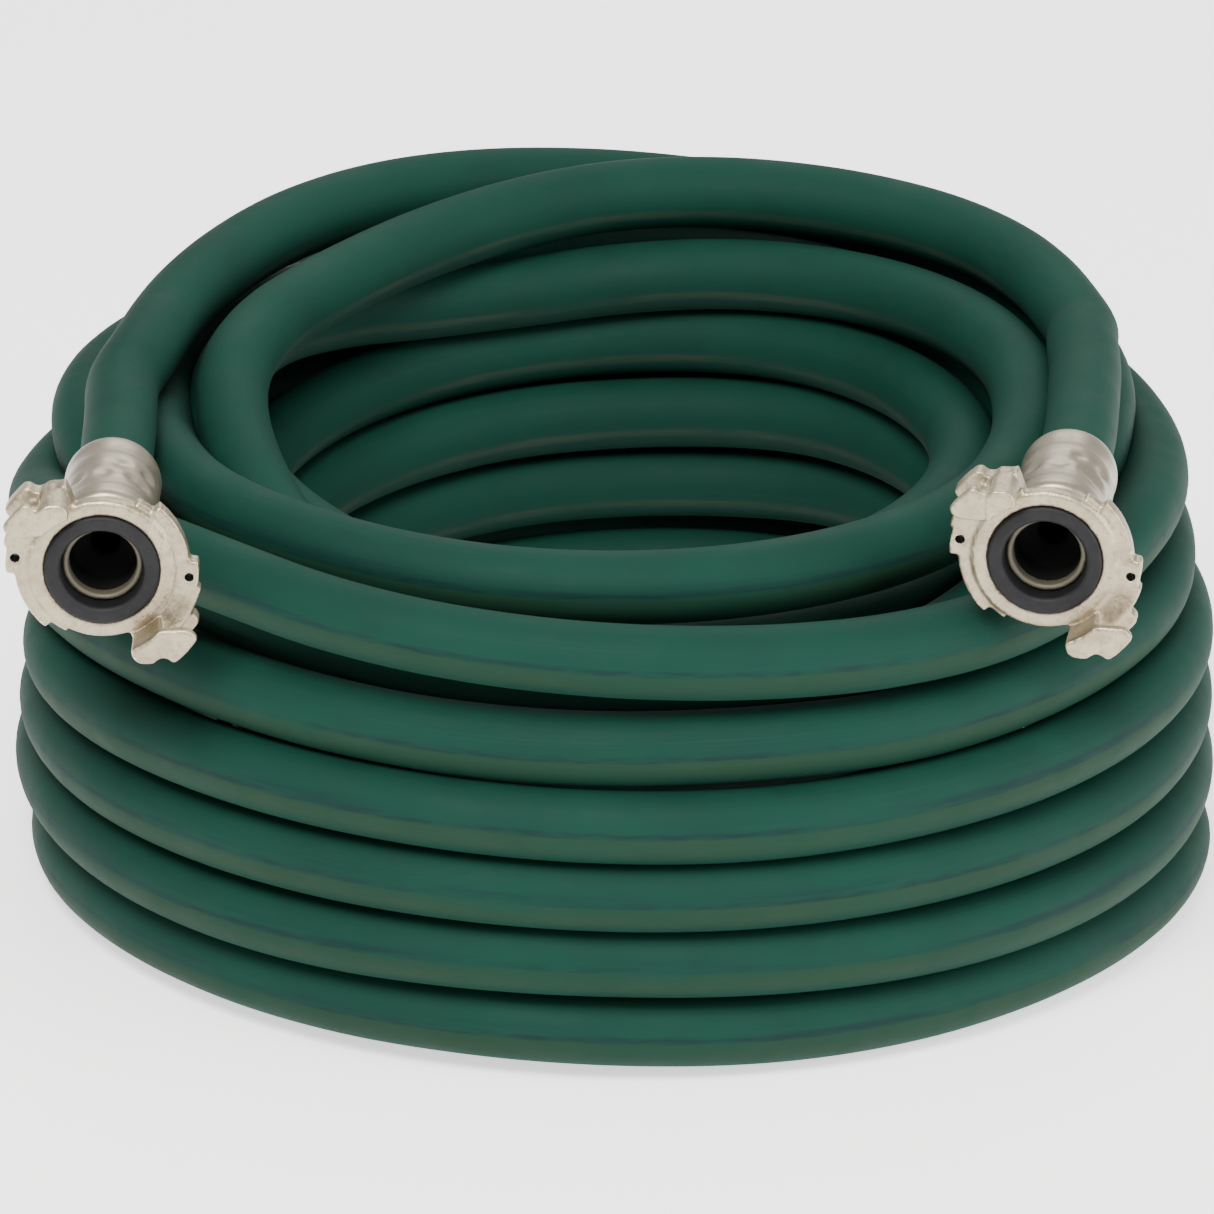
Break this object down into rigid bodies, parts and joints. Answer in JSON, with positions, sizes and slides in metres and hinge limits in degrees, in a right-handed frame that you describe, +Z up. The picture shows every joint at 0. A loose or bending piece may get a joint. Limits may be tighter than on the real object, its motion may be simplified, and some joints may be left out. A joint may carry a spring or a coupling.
{
  "type": "coiled air hose with universal claw couplings",
  "caption": "Rubber air hose wound into a free-standing coil, with a crimped two-claw universal coupling and face gasket on each end.",
  "frame": {"origin": "bottom centre of the whole object: middle of the coil's width and depth, on the surface it stands on", "axes": "+Z up, along the coil's axis; the couplings face -Y, the front; +X to the right seen from the front"},
  "size_m": [0.3974, 0.3972, 0.2017],
  "materials": {
    "hose_rubber": "matte green rubber cover with a faint lengthwise print stripe",
    "plated_casting": "malleable casting, yellowish zinc plating, satin",
    "plated_steel": "zinc-plated pressed steel, satin, crimp marks",
    "gasket_rubber": "matte black rubber"
  },
  "bodies": {
    "root": {"hose_coil": "hose_rubber", "right_hose_end": "hose_rubber", "left_hose_end": "hose_rubber", "right_coupling_head": "plated_casting", "left_coupling_head": "plated_casting", "right_face_gasket": "gasket_rubber", "left_face_gasket": "gasket_rubber", "right_ferrule": "plated_steel", "left_ferrule": "plated_steel"}
  },
  "joints": []
}
